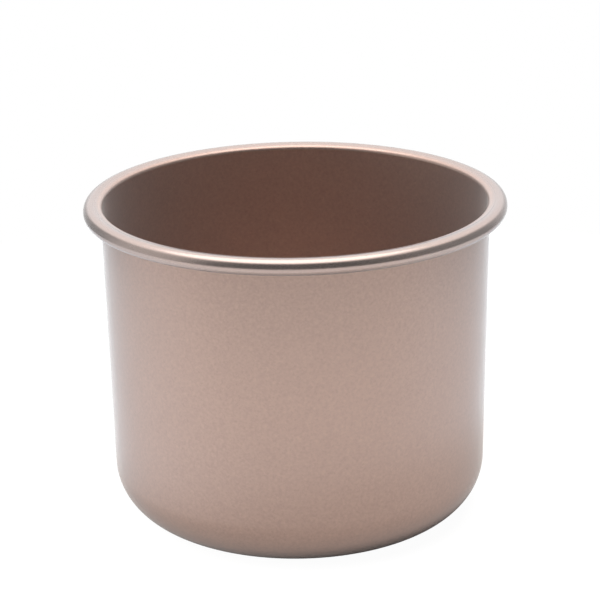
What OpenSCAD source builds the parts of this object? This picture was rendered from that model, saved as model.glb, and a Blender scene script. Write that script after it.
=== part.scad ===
// Loose-bottom baking pan: a drawn sheet-steel shell with a curled rim and a
// well-rounded bottom corner, and a stepped plate that lies on the ledge round
// the hole in its base and is pushed up and out through the mouth.
// Origin: centre of the base, on the plane that the pan stands on. +Z is up.

/* [Shell] */
// Height of the pan, from the table to the crest of the rim
pan_h = 87; // [50:1:160]
// Inside diameter of the mouth, where the wall meets the lip
mouth_d = 101.6; // [80:0.2:320]
// Lean of the wall from upright
draft_deg = 0.95; // [0:0.05:6]
// Thickness of the shell's sheet
sheet_t = 0.6; // [0.4:0.05:0.9]
// Outside radius of the corner between the wall and the base
corner_r = 14.5; // [4:0.5:25]
// Width of the flat ledge round the hole in the base
ledge_w = 6; // [4:0.5:12]

/* [Curled rim] */
// Outside diameter of the curl
curl_d = 4.3; // [3:0.1:7]
// Gap between the curl and the wall that it is rolled back to
curl_gap = 0.2; // [0.1:0.1:2]
// How far the sheet is rolled on past the rim's outermost point
curl_wrap_deg = 180; // [90:5:195]
// Radius of the bend from the wall into the lip, on its inner face
lip_bend_r = 1.2; // [1:0.1:2]
// Upward slope of the lip, from the bend to the crest of the curl
lip_rise_deg = 12; // [4:1:24]

/* [Loose bottom] */
// Thickness of the plate's sheet
plate_t = 0.8; // [0.5:0.05:1.2]
// Inside radius of the two bends of the plate's step
step_bend_r = 0.35; // [0.25:0.05:1]
// Height of the plate's underside above the table
foot_gap = 0.15; // [0.05:0.05:0.3]
// Clearance between the plate's step and the edge of the hole
hole_gap = 0.4; // [0.2:0.1:1]
// Clearance between the plate's edge and the start of the rounded corner
seat_gap = 0.8; // [0.3:0.1:2]

/* [Hidden] */
$fn = 180;
shell_colour = "#b59c93";
plate_colour = "#a89189";

// Farthest that the chord between two points stands off its arc
sag = 0.01;

mouth_r = mouth_d / 2;
curl_r = curl_d / 2;

// Directions from a bend's centre to the faces of the wall and of the lip
wall_deg = 180 - draft_deg;
lip_deg = 90 + lip_rise_deg;

// The curl: its crest is the top of the pan
curl_x = mouth_r + sheet_t + curl_gap + curl_r;
curl_z = pan_h - curl_r;
curl = [curl_x, curl_z];

// The bend under the lip: the lip is a straight tangent from it to the curl
bend_x = mouth_r + lip_bend_r * cos(draft_deg);
bend_rise = curl_r - lip_bend_r - (curl_x - bend_x) * sin(lip_rise_deg);
bend_z = curl_z + bend_rise / cos(lip_rise_deg);
lip_bend = [bend_x, bend_z];

// The bottom corner: it touches the wall's outer face and the table
wall_out_x = mouth_r + sheet_t / cos(draft_deg);
wall_h = bend_z + lip_bend_r * sin(draft_deg) - corner_r;
corner_x = wall_out_x - wall_h * tan(draft_deg) - corner_r / cos(draft_deg);
corner = [corner_x, corner_r];
hole_r = corner_x - ledge_w;

// The plate: its flange lies on the ledge, and its middle drops into the hole
plate_r = corner_x - seat_gap;
drop = sheet_t - foot_gap;
step_mid_r = step_bend_r + plate_t / 2;
step_deg = acos(1 - drop / (2 * step_mid_r));
step_top_x = hole_r - hole_gap;
step_foot_x = step_top_x - 2 * step_mid_r * sin(step_deg);
step_top = [step_top_x, sheet_t - step_bend_r];
step_foot = [step_foot_x, foot_gap + plate_t + step_bend_r];

// Points along an arc, as close together as sag asks
function arc(centre, r, from_deg, to_deg) =
    let (steps = ceil(abs(to_deg - from_deg) / (2 * acos(1 - sag / r))))
    [
        for (i = [0 : steps])
            let (deg = from_deg + (to_deg - from_deg) * i / steps)
            centre + r * [cos(deg), sin(deg)]
    ];

function reversed(points) = [for (i = [len(points) - 1 : -1 : 0]) points[i]];

// A face of the shell's sheet from the hole's edge to the end of the curl:
// depth 0 is the food face, and sheet_t is the back of the sheet
function shell_face(depth) = concat(
    [[hole_r, sheet_t - depth]],
    arc(corner, corner_r - sheet_t + depth, -90, -draft_deg),
    arc(lip_bend, lip_bend_r - depth, wall_deg, lip_deg),
    arc(curl, curl_r - depth, lip_deg, -curl_wrap_deg)
);

// A face of the plate from its middle to its edge: depth 0 is its upper face
function plate_face(depth) = concat(
    [[0, foot_gap + plate_t - depth]],
    arc(step_foot, step_bend_r + depth, -90, step_deg - 90),
    arc(step_top, step_bend_r + plate_t - depth, 90 + step_deg, 90),
    [[plate_r, sheet_t + plate_t - depth]]
);

// Sheet metal turned about the pan's axis, between its two faces
module spun_sheet(near_face, far_face) {
    rotate_extrude()
        polygon(concat(near_face, reversed(far_face)));
}

module pan_shell() {
    color(shell_colour)
        spun_sheet(shell_face(0), shell_face(sheet_t));
}

module loose_bottom() {
    color(plate_colour)
        spun_sheet(plate_face(0), plate_face(plate_t));
}

pan_shell();
loose_bottom();
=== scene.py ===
import math

import bmesh
import bpy
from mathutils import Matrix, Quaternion, Vector


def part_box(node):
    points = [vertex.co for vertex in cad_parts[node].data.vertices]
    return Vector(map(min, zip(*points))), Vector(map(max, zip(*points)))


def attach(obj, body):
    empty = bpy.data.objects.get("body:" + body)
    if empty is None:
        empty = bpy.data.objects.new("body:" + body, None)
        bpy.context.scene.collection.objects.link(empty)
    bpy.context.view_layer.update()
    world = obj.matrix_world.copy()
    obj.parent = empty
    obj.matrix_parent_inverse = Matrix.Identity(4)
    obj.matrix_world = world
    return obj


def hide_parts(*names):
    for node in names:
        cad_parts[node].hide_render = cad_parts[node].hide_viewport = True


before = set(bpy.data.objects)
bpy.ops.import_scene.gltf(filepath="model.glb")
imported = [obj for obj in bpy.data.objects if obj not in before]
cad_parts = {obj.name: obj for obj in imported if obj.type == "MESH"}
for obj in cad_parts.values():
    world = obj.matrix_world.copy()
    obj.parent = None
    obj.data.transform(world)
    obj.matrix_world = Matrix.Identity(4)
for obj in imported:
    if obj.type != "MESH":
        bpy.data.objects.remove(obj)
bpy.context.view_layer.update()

MM = 0.001
QUARTER_TURN = math.pi / 2

# Sizes of the pan, in metres
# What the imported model's boxes give is read from them, and the rest is the sheet's own bends and gaps.
_, SHELL_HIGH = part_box("pan_shell")
PLATE_LOW, PLATE_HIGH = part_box("loose_bottom")

PAN_HEIGHT = SHELL_HIGH.z
RIM_RADIUS = SHELL_HIGH.x
SHELL_SHEET = 0.6 * MM
DRAFT = math.radians(0.95)
CORNER_RADIUS = 14.5 * MM
LEDGE_WIDTH = 6 * MM
CURL_RADIUS = 2.15 * MM
CURL_GAP = 0.2 * MM
CURL_WRAP = math.radians(180)
LIP_BEND_RADIUS = 1.2 * MM
LIP_RISE = math.radians(12)

PLATE_RADIUS = PLATE_HIGH.x
PLATE_TOP = PLATE_HIGH.z
PLATE_SHEET = 0.8 * MM
FOOT_GAP = PLATE_LOW.z
STEP_BEND_RADIUS = 0.35 * MM
HOLE_GAP = 0.4 * MM
SEAT_GAP = 0.8 * MM

# The rounding of the sheet's cut edges
EDGE_ROUND = 0.12 * MM
EDGE_STEPS = 3
EDGE_ANGLE = math.radians(50)

# How finely the sheet is drawn: the points round each bend of its outline, where the curl is a row of arcs,
# and the steps of the circle that the outline is turned along
CORNER_STEPS = 40
BEND_STEPS = 12
CURL_ARCS = 4
PLATE_FOOT_STEPS = 6
PLATE_TOP_STEPS = 10
SPIN_STEPS = 256
PATH_RADIUS = 1 * MM
WELD = 0.001 * MM


class Value:
    """A node's output. Operators on it add Math nodes, so that a formula reads as one."""

    def __init__(self, graph, socket):
        self.graph, self.socket = graph, socket

    def out(self, name):
        """Another output of the same node."""
        return Value(self.graph, self.socket.node.outputs[name])

    def __add__(self, other):
        return self.graph.math("ADD", self, other)

    def __sub__(self, other):
        return self.graph.math("SUBTRACT", self, other)

    def __mul__(self, other):
        return self.graph.math("MULTIPLY", self, other)

    def __truediv__(self, other):
        return self.graph.math("DIVIDE", self, other)

    def __rsub__(self, other):
        return self.graph.math("SUBTRACT", other, self)

    def __rtruediv__(self, other):
        return self.graph.math("DIVIDE", other, self)

    __radd__ = __add__
    __rmul__ = __mul__

    def __neg__(self):
        return 0 - self

    def root(self):
        return self.graph.math("SQRT", self)

    def between(self, low, high):
        """0 below low, 1 above high, and a smooth step from one to the other."""
        settings = {"interpolation_type": "SMOOTHSTEP"}
        return self.graph.add(
            "ShaderNodeMapRange", settings, {"Value": self, "From Min": low, "From Max": high}
        )


def length(across, along):
    return (across * across + along * along).root()


def cosine(angle):
    return angle.graph.math("COSINE", angle) if isinstance(angle, Value) else math.cos(angle)


def sine(angle):
    return angle.graph.math("SINE", angle) if isinstance(angle, Value) else math.sin(angle)


# The Mix node's colour sockets, which share their names with its number sockets
MIX_FIRST, MIX_SECOND, MIX_RESULT = 6, 7, 2


class Graph:
    """A node tree, to which one call adds one node."""

    def __init__(self, tree):
        self.tree = tree

    def add(self, kind, settings=None, inputs=(), output=0):
        """Adds a node: its settings first, then a value or a link for each socket. Returns one output.

        The setting "items" is how many values an Index Switch picks from.
        """
        node = self.tree.nodes.new(kind)
        for name, value in (settings or {}).items():
            if name == "items":
                for _ in range(value - len(node.index_switch_items)):
                    node.index_switch_items.new()
            else:
                setattr(node, name, value)
        for name, value in inputs.items() if isinstance(inputs, dict) else enumerate(inputs):
            if isinstance(value, Value):
                self.tree.links.new(value.socket, node.inputs[name])
            else:
                node.inputs[name].default_value = value
        return Value(self, node.outputs[output]) if node.outputs else node

    def math(self, operation, *values):
        return self.add("ShaderNodeMath", {"operation": operation}, values)

    def mix(self, factor, first, second):
        """A colour between two others."""
        inputs = {"Factor": factor, MIX_FIRST: first, MIX_SECOND: second}
        return self.add("ShaderNodeMix", {"data_type": "RGBA"}, inputs, MIX_RESULT)

    def noise(self, place, size, detail=2.0):
        """Noise about 0, whose waves are about as long as size."""
        inputs = {"Vector": place, "Scale": 1 / size, "Detail": detail}
        return self.add("ShaderNodeTexNoise", inputs=inputs) - 0.5


def apex(centre, radius, start, end):
    """The corner, and the radius that rounds it, of an arc from one direction to another."""
    middle = (start + end) * 0.5
    reach = radius / cosine((end - start) * 0.5)
    return (centre[0] + reach * cosine(middle), centre[1] + reach * sine(middle), radius)


def spun_sheet(name, sizes, corners_of, steps_of, material):
    """An object with a node tree of its own, which turns the outline of one face of a sheet about Z.

    sizes are the tree's named inputs. corners_of works out the outline's corners from them, and steps_of
    says how many points go round each one.
    """
    tree = bpy.data.node_groups.new(name + "_form", "GeometryNodeTree")
    tree.interface.new_socket("Geometry", in_out="OUTPUT", socket_type="NodeSocketGeometry")
    tree.interface.new_socket("Steps", in_out="INPUT", socket_type="NodeSocketInt")
    tree.interface.new_socket("Finish", in_out="INPUT", socket_type="NodeSocketMaterial")
    for label in sizes:
        tree.interface.new_socket(label, in_out="INPUT", socket_type="NodeSocketFloat")
    graph = Graph(tree)
    given = graph.add("NodeGroupInput")
    corners = corners_of({label: given.out(label) for label in sizes})

    index = graph.add("GeometryNodeInputIndex")

    def at_each(kind, values):
        """For each corner its own value."""
        settings = {"data_type": kind, "items": len(corners)}
        return graph.add("GeometryNodeIndexSwitch", settings, (index, *values))

    places = [graph.add("ShaderNodeCombineXYZ", inputs=(x - PATH_RADIUS, -z)) for x, z, _ in corners]
    place = at_each("VECTOR", places)
    radius = at_each("FLOAT", [radius for _, _, radius in corners])
    points = at_each("INT", steps_of)
    line = graph.add("GeometryNodeCurvePrimitiveLine")
    line = graph.add("GeometryNodeResampleCurve", inputs={"Curve": line, "Count": len(corners)})
    line = graph.add("GeometryNodeSetPosition", inputs={"Geometry": line, "Position": place})
    rounding = {"Curve": line, "Radius": radius, "Count": points}
    rounded = graph.add("GeometryNodeFilletCurve", {"mode": "POLY"}, rounding)

    circle = {"Resolution": given.out("Steps"), "Radius": PATH_RADIUS}
    path = graph.add("GeometryNodeCurvePrimitiveCircle", inputs=circle)
    path = graph.add("GeometryNodeSetCurveNormal", {"mode": "Z_UP"}, {"Curve": path})
    skin = graph.add("GeometryNodeCurveToMesh", inputs={"Curve": path, "Profile Curve": rounded})
    skin = graph.add("GeometryNodeMergeByDistance", inputs={"Geometry": skin, "Distance": WELD})
    skin = graph.add("GeometryNodeRealizeInstances", inputs={"Geometry": skin})
    skin = graph.add("GeometryNodeSetMaterial", inputs={"Geometry": skin, "Material": given.out("Finish")})
    graph.add("NodeGroupOutput", inputs={"Geometry": skin})

    maker = bpy.data.objects.new(name + "_maker", bpy.data.meshes.new(name + "_maker"))
    bpy.context.scene.collection.objects.link(maker)
    turned = maker.modifiers.new("turned", "NODES")
    turned.node_group = tree
    values = {"Steps": SPIN_STEPS, "Finish": material, **sizes}
    for item in tree.interface.items_tree:
        if item.in_out == "INPUT":
            turned[item.identifier] = values[item.name]
    return maker


def finished(maker, name, sheet):
    """Thickens the spun face behind itself, rounds the cut edges, and makes a plain mesh of the result."""
    thick = maker.modifiers.new("sheet", "SOLIDIFY")
    thick.thickness = sheet
    thick.offset = -1
    thick.use_even_offset = True
    thick.use_quality_normals = True
    edges = maker.modifiers.new("cut_edges", "BEVEL")
    edges.width = EDGE_ROUND
    edges.segments = EDGE_STEPS
    edges.limit_method = "ANGLE"
    edges.angle_limit = EDGE_ANGLE
    smooth = maker.modifiers.new("smooth", "WEIGHTED_NORMAL")
    smooth.keep_sharp = False
    graph = bpy.context.evaluated_depsgraph_get()
    mesh = bpy.data.meshes.new_from_object(maker.evaluated_get(graph), depsgraph=graph)
    mesh.name = name
    mesh.shade_smooth()
    bpy.data.objects.remove(maker)
    piece = bpy.data.objects.new(name, mesh)
    bpy.context.scene.collection.objects.link(piece)
    return piece


def shell_corners(size):
    """The shell's food face: from the hole's edge over the ledge, up the wall and round the curl."""
    draft, rise, wrap = size["Draft"], size["Lip Rise"], size["Curl Wrap"]
    sheet, corner_r = size["Sheet"], size["Corner Radius"]
    curl_r, bend_r = size["Curl Radius"], size["Lip Bend Radius"]
    mouth = size["Rim Radius"] - 2 * curl_r - size["Curl Gap"] - sheet
    wall_way, lip_way = 2 * QUARTER_TURN - draft, QUARTER_TURN + rise

    curl = (size["Rim Radius"] - curl_r, size["Height"] - curl_r)
    bend_x = mouth + bend_r * cosine(draft)
    bend_z = curl[1] + (curl_r - bend_r - (curl[0] - bend_x) * sine(rise)) / cosine(rise)
    wall_h = bend_z + bend_r * sine(draft) - corner_r
    lean = wall_h * sine(draft) + corner_r - sheet
    corner = (mouth - lean / cosine(draft), corner_r)

    turn = (lip_way + wrap) / CURL_ARCS
    return [
        (corner[0] - size["Ledge Width"], sheet, 0.0),
        apex(corner, corner_r - sheet, -QUARTER_TURN, -draft),
        apex((bend_x, bend_z), bend_r, wall_way, lip_way),
        *[apex(curl, curl_r, lip_way - turn * k, lip_way - turn * (k + 1)) for k in range(CURL_ARCS)],
        (curl[0] + curl_r * cosine(wrap), curl[1] - curl_r * sine(wrap), 0.0),
    ]


def plate_corners(size):
    """The plate's upper face: from its middle up the step and out over the flange."""
    sheet, bend_r, top = size["Sheet"], size["Bend Radius"], size["Top"]
    middle = size["Foot Gap"] + sheet
    mid_r = bend_r + sheet * 0.5
    drop = top - middle
    turn = drop.graph.math("ARCCOSINE", 1 - drop / (2 * mid_r))
    foot_x = size["Step Radius"] - 2 * mid_r * sine(turn)
    return [
        (0.0, middle, 0.0),
        apex((foot_x, middle + bend_r), bend_r, -QUARTER_TURN, turn - QUARTER_TURN),
        apex((size["Step Radius"], top - sheet - bend_r), bend_r + sheet, QUARTER_TURN + turn, QUARTER_TURN),
        (size["Plate Radius"], top, 0.0),
    ]


# What each piece's node tree is given: its named sizes, and how many points go round each corner
SHELL_SIZES = {
    "Height": PAN_HEIGHT,
    "Rim Radius": RIM_RADIUS,
    "Sheet": SHELL_SHEET,
    "Draft": DRAFT,
    "Corner Radius": CORNER_RADIUS,
    "Ledge Width": LEDGE_WIDTH,
    "Curl Radius": CURL_RADIUS,
    "Curl Gap": CURL_GAP,
    "Curl Wrap": CURL_WRAP,
    "Lip Bend Radius": LIP_BEND_RADIUS,
    "Lip Rise": LIP_RISE,
}
SHELL_STEPS = (1, CORNER_STEPS, BEND_STEPS, *[BEND_STEPS] * CURL_ARCS, 1)

PLATE_SIZES = {
    "Plate Radius": PLATE_RADIUS,
    "Step Radius": PLATE_RADIUS + SEAT_GAP - LEDGE_WIDTH - HOLE_GAP,
    "Top": PLATE_TOP,
    "Foot Gap": FOOT_GAP,
    "Sheet": PLATE_SHEET,
    "Bend Radius": STEP_BEND_RADIUS,
}
PLATE_STEPS = (1, PLATE_FOOT_STEPS, PLATE_TOP_STEPS, 1)

# The coating's colours, as linear red, green, blue and alpha: between the first two on the sheet,
# with a share of the third on the curl, a greyer tone that is a painted reflection of the curl's whiter coat,
# and the fourth where the sheet is seen edge-on
ROSE = (0.577, 0.390, 0.320, 1)
ROSE_DEEP = (0.432, 0.290, 0.237, 1)
CURL_REFLECTION_GREY = (0.440, 0.351, 0.319, 1)
CURL_REFLECTION_SHARE = 0.7
EDGE_TINT = (0.30, 0.28, 0.31, 1)

# Its gloss: satin, and burnished smooth on the curl, between two distances from the pan's axis, the same band
# that carries the curl's painted reflection grey
METALLIC = 0.9
ROUGHNESS = 0.43
CURL_ROUGHNESS = 0.27
CURL_SMOOTHNESS = 0.95
BURNISH_AND_REFLECTION_BAND = (RIM_RADIUS - 2 * CURL_RADIUS, RIM_RADIUS - 1.5 * CURL_RADIUS)
COAT_ROUGHNESS = 0.12
SHEEN = 0.35
SHEEN_SPREAD = 0.72

# Its texture: how long the waves are, and how much each one sways the tone, the roughness or the height
CLOUD, CLOUD_TONE, CLOUD_DETAIL = 30 * MM, 0.3, 3.0
GRAIN, GRAIN_TONE = 0.8 * MM, 1.0
FLAKE, FLAKE_TONE, FLAKE_ROUGHNESS, FLAKE_HEIGHT = 0.48 * MM, 0.4, 0.08, 0.2
PEEL, PEEL_DEPTH, PEEL_STRENGTH = 1.4 * MM, 0.02 * MM, 0.25


def coating(name):
    """Sprayed metallic non-stick coating: fine flakes, faint orange peel and slow shifts of tone.

    On the curl, which the forming has burnished, it is smoother, and it is greyer: a painted reflection that
    stands in for the curl's whiter coat reflections.
    """
    material = bpy.data.materials.new(name)
    material.use_nodes = True
    material.node_tree.nodes.clear()
    graph = Graph(material.node_tree)
    place = graph.add("ShaderNodeTexCoord", output="Object")
    x = graph.add("ShaderNodeSeparateXYZ", inputs=(place,))
    burnish_and_reflection = length(x, x.out("Y")).between(*BURNISH_AND_REFLECTION_BAND)
    uneven = 1 - burnish_and_reflection * CURL_SMOOTHNESS

    flakes = graph.add("ShaderNodeTexVoronoi", inputs={"Vector": place, "Scale": 1 / FLAKE}, output="Color")
    flake = graph.add("ShaderNodeSeparateColor", inputs=(flakes,)) - 0.5
    clouds = graph.noise(place, CLOUD, CLOUD_DETAIL) * CLOUD_TONE
    fine = graph.noise(place, GRAIN) * GRAIN_TONE + flake * FLAKE_TONE
    paint = graph.mix(clouds + fine + 0.5, ROSE_DEEP, ROSE)
    # Painted reflection: the curl's greyer tone stands in for its whiter coat reflections
    paint = graph.mix(burnish_and_reflection * CURL_REFLECTION_SHARE, paint, CURL_REFLECTION_GREY)
    roughness = burnish_and_reflection * (CURL_ROUGHNESS - ROUGHNESS) + flake * uneven * FLAKE_ROUGHNESS + ROUGHNESS
    height = (graph.noise(place, PEEL) + flake * FLAKE_HEIGHT) * uneven
    bump = {"Strength": PEEL_STRENGTH, "Distance": PEEL_DEPTH, "Height": height}
    surface = graph.add(
        "ShaderNodeBsdfPrincipled",
        inputs={
            "Base Color": paint,
            "Metallic": METALLIC,
            "Roughness": roughness,
            "Specular Tint": EDGE_TINT,
            "Coat Weight": 1.0,
            "Coat Roughness": COAT_ROUGHNESS,
            "Sheen Weight": SHEEN,
            "Sheen Roughness": SHEEN_SPREAD,
            "Normal": graph.add("ShaderNodeBump", inputs=bump),
        },
    )
    graph.add("ShaderNodeOutputMaterial", inputs={"Surface": surface})
    return material


# The table that the pan stands on, and its matt paint, which glows faintly as painted light: white in front,
# and turning cooler toward the back between the two lines of the cool edge, a painted cool light
WHITE = (1, 1, 1, 1)
TABLE_RADIUS = 310 * MM
TABLE_PLACE = (0, -55 * MM, 0)
TABLE_STEPS = 128
TABLE_WHITE = (0.68, 0.68, 0.68, 1)
TABLE_PAINTED_COOL_LIGHT = (0.640, 0.675, 0.710, 1)
PAINTED_COOL_LIGHT_EDGE = (-140 * MM, -40 * MM)
TABLE_ROUGHNESS = 0.9
TABLE_GLOW = 0.26

# A painted warm shade round the pan, whose warmth also stands in for light bounced off the pan, and a painted
# contact shadow right under it, which has no glow. Each has its colour, its centre and the two radii between
# which it fades.
SHADE_COLOUR = (0.430, 0.390, 0.360, 1)
SHADE_PLACE = (16 * MM, -14 * MM)
SHADE_EDGE = (62 * MM, 105 * MM)
CONTACT_SHADOW_COLOUR = (0.06, 0.05, 0.045, 1)
CONTACT_SHADOW_PLACE = (4 * MM, 0)
CONTACT_SHADOW_EDGE = (40.5 * MM, 48.5 * MM)

# How much white the camera sees over the paint, and how bright it is
SEEN_WHITE = 0.88
SEEN_LIGHT = 1.1


def table_paint():
    """Matt pale paint, with a painted shade round the pan and a painted contact shadow under it. The camera
    sees its shadows lightened, as on a bright studio sweep.
    """
    material = bpy.data.materials.new("table_paint")
    material.use_nodes = True
    material.node_tree.nodes.clear()
    graph = Graph(material.node_tree)
    place = graph.add("ShaderNodeTexCoord", output="Object")
    x = graph.add("ShaderNodeSeparateXYZ", inputs=(place,))
    y = x.out("Y")
    # Masks of the painted shade round the pan and of the painted contact shadow under it
    clear = length(x - SHADE_PLACE[0], y - SHADE_PLACE[1]).between(*SHADE_EDGE)
    lit = length(x - CONTACT_SHADOW_PLACE[0], y - CONTACT_SHADOW_PLACE[1]).between(*CONTACT_SHADOW_EDGE)
    # Painted cool light: the back of the table is tinted cooler
    colour = graph.mix(y.between(*PAINTED_COOL_LIGHT_EDGE), TABLE_WHITE, TABLE_PAINTED_COOL_LIGHT)
    colour = graph.mix(clear, SHADE_COLOUR, colour)
    paint = graph.add(
        "ShaderNodeBsdfPrincipled",
        inputs={
            "Base Color": graph.mix(lit, CONTACT_SHADOW_COLOUR, colour),
            "Roughness": TABLE_ROUGHNESS,
            # The glow is painted light, and it is cut to none where the contact shadow is painted
            "Emission Color": lit,
            "Emission Strength": TABLE_GLOW,
        },
    )
    white = graph.add("ShaderNodeEmission", inputs={"Color": WHITE, "Strength": SEEN_LIGHT})
    seen = graph.add("ShaderNodeLightPath", output="Is Camera Ray") * SEEN_WHITE
    surface = graph.add("ShaderNodeMixShader", inputs=(seen, paint, white))
    graph.add("ShaderNodeOutputMaterial", inputs={"Surface": surface})
    return material


def table():
    """A round table under the pan."""
    form = bmesh.new()
    bmesh.ops.create_circle(form, cap_ends=True, segments=TABLE_STEPS, radius=TABLE_RADIUS)
    bmesh.ops.translate(form, verts=form.verts, vec=TABLE_PLACE)
    mesh = bpy.data.meshes.new("table")
    form.to_mesh(mesh)
    form.free()
    mesh.materials.append(table_paint())
    top = bpy.data.objects.new("table", mesh)
    bpy.context.scene.collection.objects.link(top)


# The studio's light, as strengths. Edges are pairs between which a light grows, and ways point from the pan.
# The room is dim: darkest before the pan, lighter to its sides and behind it, with a pale window to its left.
LIGHT_COLOUR = (1.0, 0.99, 0.98, 1)
ROOM_FRONT = 0.06
ROOM_SIDES, SIDES_EDGE = 0.2, (-1.0, -0.3)
ROOM_BACK, BACK_EDGE, BACK_WAY = 0.85, (0.6, 1.0), (0.139, 0.990)
WINDOW_LIGHT, WINDOW_EDGE, WINDOW_WAY = 0.45, (0.75, 1.0), (-0.996, -0.087)

# A broad pale screen above, which leans back and a little to the left, and comes lower behind the pan
SCREEN_LIGHT = 1.55
SCREEN_LEAN = math.radians(20)
SCREEN_EDGE = (0.53, 0.75)
SCREEN_DROP = 0.2
LEFT_LEAN = 0.02

# An oval lamp in the screen: its middle, half its length and width, and its soft edge, all as they lie on
# the level that is 1 above the pan, and the heights between which it fades in from the horizon
LAMP_LIGHT = 3.1
LAMP_PLACE = (-0.075, 0.145)
LAMP_HALF = (0.675, 0.505)
LAMP_EDGE = (0.85, 1.15)
LAMP_HORIZON = (0, 0.1)


def studio():
    """A soft studio light all round, and plain white where the camera looks past the table."""
    world = bpy.data.worlds.new("studio")
    bpy.context.scene.world = world
    world.use_nodes = True
    world.node_tree.nodes.clear()
    graph = Graph(world.node_tree)
    way = graph.add("ShaderNodeTexCoord", output="Generated")
    x = graph.add("ShaderNodeSeparateXYZ", inputs=(way,))
    y, z = x.out("Y"), x.out("Z")
    level = length(x, y)
    behind, right = y / level, x / level

    sides = behind.between(*SIDES_EDGE) * (ROOM_SIDES - ROOM_FRONT)
    back = (right * BACK_WAY[0] + behind * BACK_WAY[1]).between(*BACK_EDGE) * (ROOM_BACK - ROOM_SIDES)
    window = (right * WINDOW_WAY[0] + behind * WINDOW_WAY[1]).between(*WINDOW_EDGE) * WINDOW_LIGHT
    room = sides + back + window + ROOM_FRONT

    height = y * math.sin(SCREEN_LEAN) + z * math.cos(SCREEN_LEAN) - x * LEFT_LEAN
    screen = (height + behind.between(*BACK_EDGE) * SCREEN_DROP).between(*SCREEN_EDGE)

    across = (x / z - LAMP_PLACE[0]) / LAMP_HALF[0]
    along = (y / z - LAMP_PLACE[1]) / LAMP_HALF[1]
    lamp = (1 - length(across, along).between(*LAMP_EDGE)) * z.between(*LAMP_HORIZON)

    power = room * (1 - screen) + screen * SCREEN_LIGHT + lamp * (LAMP_LIGHT - SCREEN_LIGHT)
    light = graph.add("ShaderNodeBackground", inputs={"Color": LIGHT_COLOUR, "Strength": power})
    seen = graph.add("ShaderNodeBackground", inputs={"Color": WHITE, "Strength": 1.0})
    camera_ray = graph.add("ShaderNodeLightPath", output="Is Camera Ray")
    sky = graph.add("ShaderNodeMixShader", inputs=(camera_ray, light, seen))
    graph.add("ShaderNodeOutputWorld", inputs={"Surface": sky})
    bpy.context.scene.view_settings.view_transform = "Standard"


# The camera's place, fitted to the photograph's outline of the pan
PHOTO_SIDE = 600
FOCAL_PIXELS = 2216.9
SENSOR = 36.0
CAMERA_DISTANCE = 600 * MM
CAMERA_ELEVATION = math.radians(20.56)
CAMERA_PIVOT = Vector((0, 0, 43 * MM))
CAMERA_AIM = Vector((0.83 * MM, 0, 57.7 * MM))
CAMERA_ROLL = math.radians(0.99)
CAMERA_CLIP = (0.01, 50)


def photo_camera():
    """The photograph's view: it aims a little above the pan's middle, and is slightly rolled."""
    data = bpy.data.cameras.new("photo_camera")
    data.sensor_width = SENSOR
    data.lens = FOCAL_PIXELS / PHOTO_SIDE * SENSOR
    data.clip_start, data.clip_end = CAMERA_CLIP
    camera = bpy.data.objects.new("photo_camera", data)
    bpy.context.scene.collection.objects.link(camera)
    back = Vector((0, -math.cos(CAMERA_ELEVATION), math.sin(CAMERA_ELEVATION)))
    camera.location = CAMERA_PIVOT + CAMERA_DISTANCE * back
    look = (CAMERA_AIM - camera.location).to_track_quat("-Z", "Y")
    camera.rotation_mode = "QUATERNION"
    camera.rotation_quaternion = look @ Quaternion((0, 0, 1), -CAMERA_ROLL)
    bpy.context.scene.camera = camera


def pan():
    """The two pieces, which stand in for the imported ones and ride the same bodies."""
    shell_paint = coating("shell_coating")
    maker = spun_sheet("pan_shell", SHELL_SIZES, shell_corners, SHELL_STEPS, shell_paint)
    shell = finished(maker, "pan_shell_sheet", SHELL_SHEET)
    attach(shell, "shell")
    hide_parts("pan_shell")

    plate_paint = coating("plate_coating")
    maker = spun_sheet("loose_bottom", PLATE_SIZES, plate_corners, PLATE_STEPS, plate_paint)
    plate = finished(maker, "loose_bottom_sheet", PLATE_SHEET)
    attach(plate, "bottom")
    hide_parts("loose_bottom")


photo_camera()
pan()
table()
studio()
